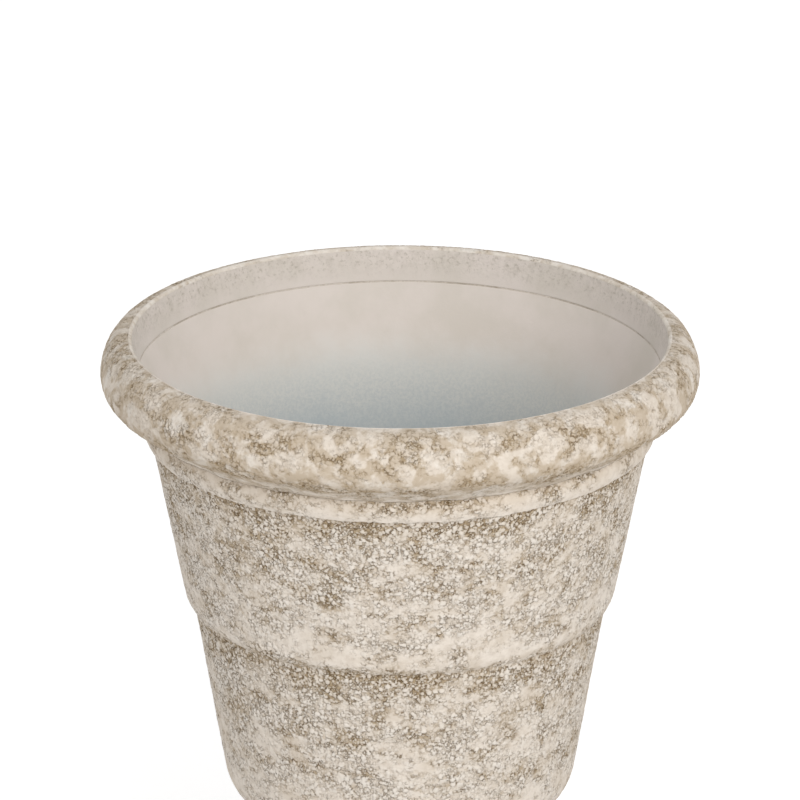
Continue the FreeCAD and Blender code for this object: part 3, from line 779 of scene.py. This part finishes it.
def pedestal_foot():
    """Hollow foot: half-round collar, hollow-curved stem, flat band and plinth."""
    skin = dict(step=FINE, columns=FOOT_COLUMNS, material=OUTER)
    plain = dict(columns=FEW_COLUMNS // 2, material=INNER)
    flat = COLLAR_RADIUS - COLLAR_BULGE
    collar_low = FOOT_TOP_Z - COLLAR_HEIGHT
    hollow_centre = STEM_RADIUS + STEM_HOLLOW
    band_flat = FOOT_BAND_RADIUS - FOOT_BAND_LIP
    waist_z = FOOT_BAND_Z + math.sqrt(STEM_HOLLOW ** 2 - (hollow_centre - band_flat) ** 2)
    stem_top = hollow_centre - math.sqrt(STEM_HOLLOW ** 2 - (collar_low - waist_z) ** 2)
    splay = (STEM_HOLLOW + FOOT_WALL) * math.cos(math.pi / 4)
    half = COLLAR_HEIGHT / 2
    bulge = (half * half + COLLAR_BULGE * COLLAR_BULGE) / (2 * COLLAR_BULGE)

    section = Section(STEM_BORE, FOOT_TOP_Z)
    section.line(BED_RADIUS, FOOT_TOP_Z, ROUGH, FOOT_COLUMNS, OUTER)
    section.line(flat, FOOT_TOP_Z, **skin, stain=(1, 0.6))
    section.arc(flat, collar_low, bulge, **skin,
                crust=(0.2, 0.3), stain=(0.3, 0.3), free=(0, 1), edge=(0, 0.3))
    # The stem just under the collar is browned with dirt and painted shade.
    section.line(stem_top, collar_low, **skin, stain=(0.5, 1), free=(1, 0.6))
    section.arc(band_flat, FOOT_BAND_Z, STEM_HOLLOW, hollow=True, **skin,
                crust=(0.8, 0.6), stain=(1, 0.3), free=(0.6, 1))
    section.line(FOOT_BAND_RADIUS, FOOT_BAND_Z, **skin,
                 crust=(0.2, 0.2), free=(1, 1), edge=(0, 1))
    section.line(FOOT_BAND_RADIUS, PLINTH_HEIGHT, **skin,
                 crust=(0.3, 0.4), free=(1, 0.6), stain=(0, 0.8), edge=(1, 0))
    section.line(FOOT_RADIUS - PLINTH_EDGE, PLINTH_HEIGHT, **skin,
                 crust=(0.3, 0.2), free=(0.6, 1), stain=(0.8, 0), edge=(0, 0.5))
    section.line(FOOT_RADIUS, PLINTH_HEIGHT - PLINTH_EDGE, **skin, free=(1, 1), edge=(0.5, 0.5))
    section.line(FOOT_RADIUS, 0, **skin,
                 crust=(0.5, 0.3), free=(1, 0), stain=(0, 0.4), edge=(0.5, 0))
    section.line(FOOT_RADIUS - PLINTH_WALL, 0, ROUGH, **plain)
    section.line(FOOT_RADIUS - PLINTH_WALL, PLINTH_HEIGHT - FOOT_WALL, ROUGH, **plain)
    section.line(hollow_centre - splay, waist_z - splay, COARSE, **plain)
    section.line(STEM_BORE, waist_z, COARSE, **plain)
    section.line(STEM_BORE, FOOT_TOP_Z, ROUGH, **plain)
    return section


def drain_plug():
    """Rubber plug: stud in its finger groove, flange, stem and lead-in."""
    plain = dict(columns=PLUG_COLUMNS, material=OUTER)
    groove_z, recess_z = FLOOR_Z - GRIP_DEPTH, FLOOR_Z - RECESS_DEPTH
    stem = DRAIN_RADIUS - PLUG_CLEARANCE
    section = Section(0, FLOOR_Z)
    section.line(GRIP_RADIUS - PLUG_ROUND, FLOOR_Z, MEDIUM, **plain)
    section.arc(GRIP_RADIUS, FLOOR_Z - PLUG_ROUND, PLUG_ROUND, PLUG_ROUND / 3, **plain)
    section.line(GRIP_RADIUS, groove_z, MEDIUM, **plain)
    section.line(GRIP_RADIUS + GRIP_GROOVE, groove_z, MEDIUM, **plain)
    section.line(GRIP_RADIUS + GRIP_GROOVE, FLOOR_Z - PLUG_ROUND, MEDIUM, **plain)
    section.arc(GRIP_RADIUS + GRIP_GROOVE + PLUG_ROUND, FLOOR_Z, PLUG_ROUND, PLUG_ROUND / 3,
                **plain)
    section.line(FLANGE_RADIUS - PLUG_ROUND, FLOOR_Z, MEDIUM, **plain)
    section.arc(FLANGE_RADIUS, FLOOR_Z - PLUG_ROUND, PLUG_ROUND, PLUG_ROUND / 3, **plain)
    section.line(FLANGE_RADIUS, recess_z, MEDIUM, **plain)
    section.line(stem, recess_z, MEDIUM, **plain)
    section.line(stem, PLUG_LOW_Z + PLUG_LEAD, MEDIUM, **plain)
    section.line(stem - PLUG_LEAD, PLUG_LOW_Z, MEDIUM, **plain)
    section.line(0, PLUG_LOW_Z, MEDIUM, **plain)
    section.line(0, FLOOR_Z, ROUGH, **plain)
    return section


def add_piece(node, section, body, materials):
    """One turned piece, with its relief, standing for its CAD node."""
    obj = bpy.data.objects.new(node + "_cast", turned_mesh(node + "_cast", section))
    bpy.context.scene.collection.objects.link(obj)
    press_relief(obj)
    for material in materials:
        obj.data.materials.append(material)
    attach(obj, body)
    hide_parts(node)


def add_urn():
    crust, roll, inside = crust_material(), roll_material(), inside_material()
    mortar, rubber = mortar_material(), rubber_material()
    add_piece("rim_ring", rim_ring(), "planter", [roll, inside])
    add_piece("bowl_shell", bowl_shell(), "planter", [crust, inside])
    add_piece("pedestal_foot", pedestal_foot(), "planter", [crust, inside])
    add_piece("rim_bond", rim_bond(), "planter", [mortar])
    add_piece("foot_bond", foot_bond(), "planter", [mortar])
    add_piece("drain_plug", drain_plug(), "plug", [rubber])


# ---------------------------------------------------------------- studio
# Places and sizes are metres and powers are watts, but for the camera's drop and its lens.
CAMERA_DISTANCE = 3.8335
CAMERA_ELEVATION = math.radians(20.37)
CAMERA_AIM_DROP = 55.1   # below the crest, in millimetres
CAMERA_LENS = 225
KEY_LAMP = dict(place=(1.5, -2.8, 1.9), size=1.6, power=49, colour=(1.0, 0.99, 0.975))
FILL_LAMP = dict(place=(-1.6, -2.6, 1.3), size=2.0, power=13, colour=(1.0, 1.0, 1.0))
LAMP_AIM = (0, 0, 0.35)
WORLD_LIGHT = 0.63       # the light from all round, where 1 is the white background
FLOOR_SHADE, FLOOR_GLOW, FLOOR_REACH = 0.8, 0.5, 30.0


def add_camera():
    camera = bpy.data.objects.new("camera", bpy.data.cameras.new("camera"))
    camera.data.lens = CAMERA_LENS
    aim = (CREST_Z - CAMERA_AIM_DROP) * MM
    camera.location = (0, -CAMERA_DISTANCE * math.cos(CAMERA_ELEVATION),
                       aim + CAMERA_DISTANCE * math.sin(CAMERA_ELEVATION))
    camera.rotation_euler = (math.pi / 2 - CAMERA_ELEVATION, 0, 0)
    bpy.context.scene.collection.objects.link(camera)
    bpy.context.scene.camera = camera


def add_lamp(name, place, size, power, colour):
    """A square area lamp that faces the bowl's middle."""
    lamp = bpy.data.objects.new(name, bpy.data.lights.new(name, "AREA"))
    lamp.data.size = size
    lamp.data.energy = power
    lamp.data.color = colour
    lamp.location = place
    direction = np.array(LAMP_AIM) - np.array(place)
    length = np.linalg.norm(direction)
    lamp.rotation_euler = (math.acos(-direction[2] / length), 0,
                           math.atan2(direction[1], direction[0]) - math.pi / 2)
    bpy.context.scene.collection.objects.link(lamp)


def background_rays(tree):
    """1 for rays that the camera sees straight on, in a mirror or through glass."""
    path = tree.nodes.new("ShaderNodeLightPath")
    camera, glossy, through = (Field(tree, path.outputs[name]) for name in (
        "Is Camera Ray", "Is Glossy Ray", "Is Transmission Ray"))
    return camera.most(glossy).most(through)


def add_world():
    """Soft light from all round, and a white background."""
    world = bpy.data.worlds.new("studio")
    bpy.context.scene.world = world
    world.use_nodes = True
    tree = world.node_tree
    background = tree.nodes["Background"]
    background.inputs["Color"].default_value = (1, 1, 1, 1)
    seen = background_rays(tree)
    feed(background.inputs["Strength"], seen * (1 - WORLD_LIGHT) + WORLD_LIGHT)


def add_floor():
    """Pale floor that looks white but keeps the planter's shadow."""
    mesh = bpy.data.meshes.new("floor")
    far = FLOOR_REACH
    mesh.from_pydata([(-far, -far, 0), (far, -far, 0), (far, far, 0), (-far, far, 0)], [],
                     [(0, 1, 2, 3)])
    floor = bpy.data.objects.new("floor", mesh)
    bpy.context.scene.collection.objects.link(floor)
    material, tree, surface = new_material("pale_floor")
    surface.inputs["Base Color"].default_value = (FLOOR_SHADE, FLOOR_SHADE, FLOOR_SHADE, 1)
    surface.inputs["Roughness"].default_value = 0.9
    surface.inputs["Emission Color"].default_value = (1, 1, 1, 1)
    feed(surface.inputs["Emission Strength"], background_rays(tree) * FLOOR_GLOW)
    mesh.materials.append(material)


def add_studio():
    add_camera()
    add_world()
    add_floor()
    add_lamp("key", **KEY_LAMP)
    add_lamp("fill", **FILL_LAMP)


add_urn()
add_studio()
bpy.context.scene.view_settings.view_transform = "Standard"
bpy.context.view_layer.update()
